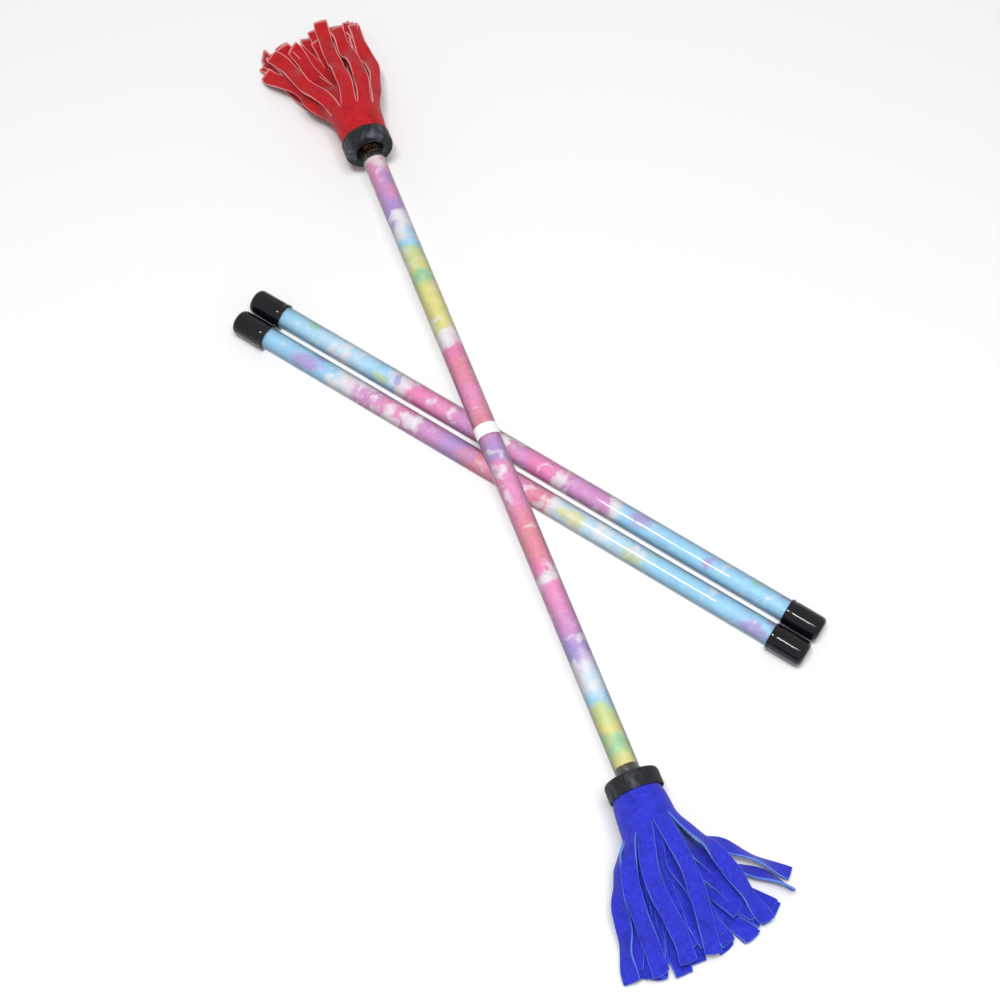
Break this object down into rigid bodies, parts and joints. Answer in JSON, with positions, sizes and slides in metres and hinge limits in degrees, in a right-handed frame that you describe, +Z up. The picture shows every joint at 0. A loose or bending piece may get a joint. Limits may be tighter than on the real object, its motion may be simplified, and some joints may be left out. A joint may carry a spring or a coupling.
{
  "type": "devil stick set",
  "caption": "Devil stick set: a centre stick with suede tassels at both ends lying across its two hand sticks, all with clear grip tubes over tie-dye print.",
  "frame": {"origin": "middle of the set's footprint, on the surface that it lies on", "axes": "+X along the centre stick from its red tassel to its blue one, +Z up; the hand sticks point 36.2 degrees from +X towards +Y"},
  "size_m": [0.691, 0.2738, 0.0404],
  "materials": {
    "rod": "smooth glass-fibre rod",
    "centre_print": "tie-dye print in pink, white, blue, green and yellow",
    "hand_print": "tie-dye print in light blue, mauve, pink and white",
    "clear_grip": "clear, soft and glossy",
    "label": "plain white band",
    "black_vinyl": "glossy dipped vinyl",
    "black_rubber": "matte, slightly scuffed",
    "black_tape": "glossy wound tape",
    "red_suede": "napped suede with paler cut edges",
    "blue_suede": "napped suede with paler cut edges"
  },
  "bodies": {
    "near_hand_stick": {"near_core_rod": "rod", "near_print_sleeve": "hand_print", "near_grip_sleeve": "clear_grip", "near_cap_left": "black_vinyl", "near_cap_right": "black_vinyl"},
    "far_hand_stick": {"far_core_rod": "rod", "far_print_sleeve": "hand_print", "far_grip_sleeve": "clear_grip", "far_cap_left": "black_vinyl", "far_cap_right": "black_vinyl"},
    "centre_stick": {"centre_core_rod": "rod", "centre_print_sleeve": "centre_print", "centre_grip_sleeve": "clear_grip", "label_band": "label", "red_neck_tape": "black_tape", "red_rubber_collar": "black_rubber", "red_binding_tape": "black_tape", "red_tassel_cuff": "red_suede", "blue_neck_tape": "black_tape", "blue_rubber_collar": "black_rubber", "blue_binding_tape": "black_tape", "blue_tassel_cuff": "blue_suede"},
    "red_fringe": {"red_fringe_outer": "red_suede", "red_fringe_middle": "red_suede", "red_fringe_inner": "red_suede"},
    "blue_fringe": {"blue_fringe_outer": "blue_suede", "blue_fringe_middle": "blue_suede", "blue_fringe_inner": "blue_suede"}
  },
  "joints": [
    {"name": "far_stick_slide", "type": "slide", "parent": "near_hand_stick", "child": "far_hand_stick", "axis": [-0.5906, 0.807, 0], "range_m": [0, 0.1]},
    {"name": "centre_stick_lift", "type": "slide", "parent": "near_hand_stick", "child": "centre_stick", "axis": [0, 0, 1], "range_m": [0, 0.25]},
    {"name": "red_fringe_flop", "type": "hinge", "parent": "centre_stick", "child": "red_fringe", "pos_m": [-0.2455, -0.0118, 0.0239], "axis": [0, 1, 0], "range_deg": [0, 45]},
    {"name": "blue_fringe_flop", "type": "hinge", "parent": "centre_stick", "child": "blue_fringe", "pos_m": [0.2455, -0.0118, 0.0239], "axis": [0, -1, 0], "range_deg": [0, 45]}
  ]
}
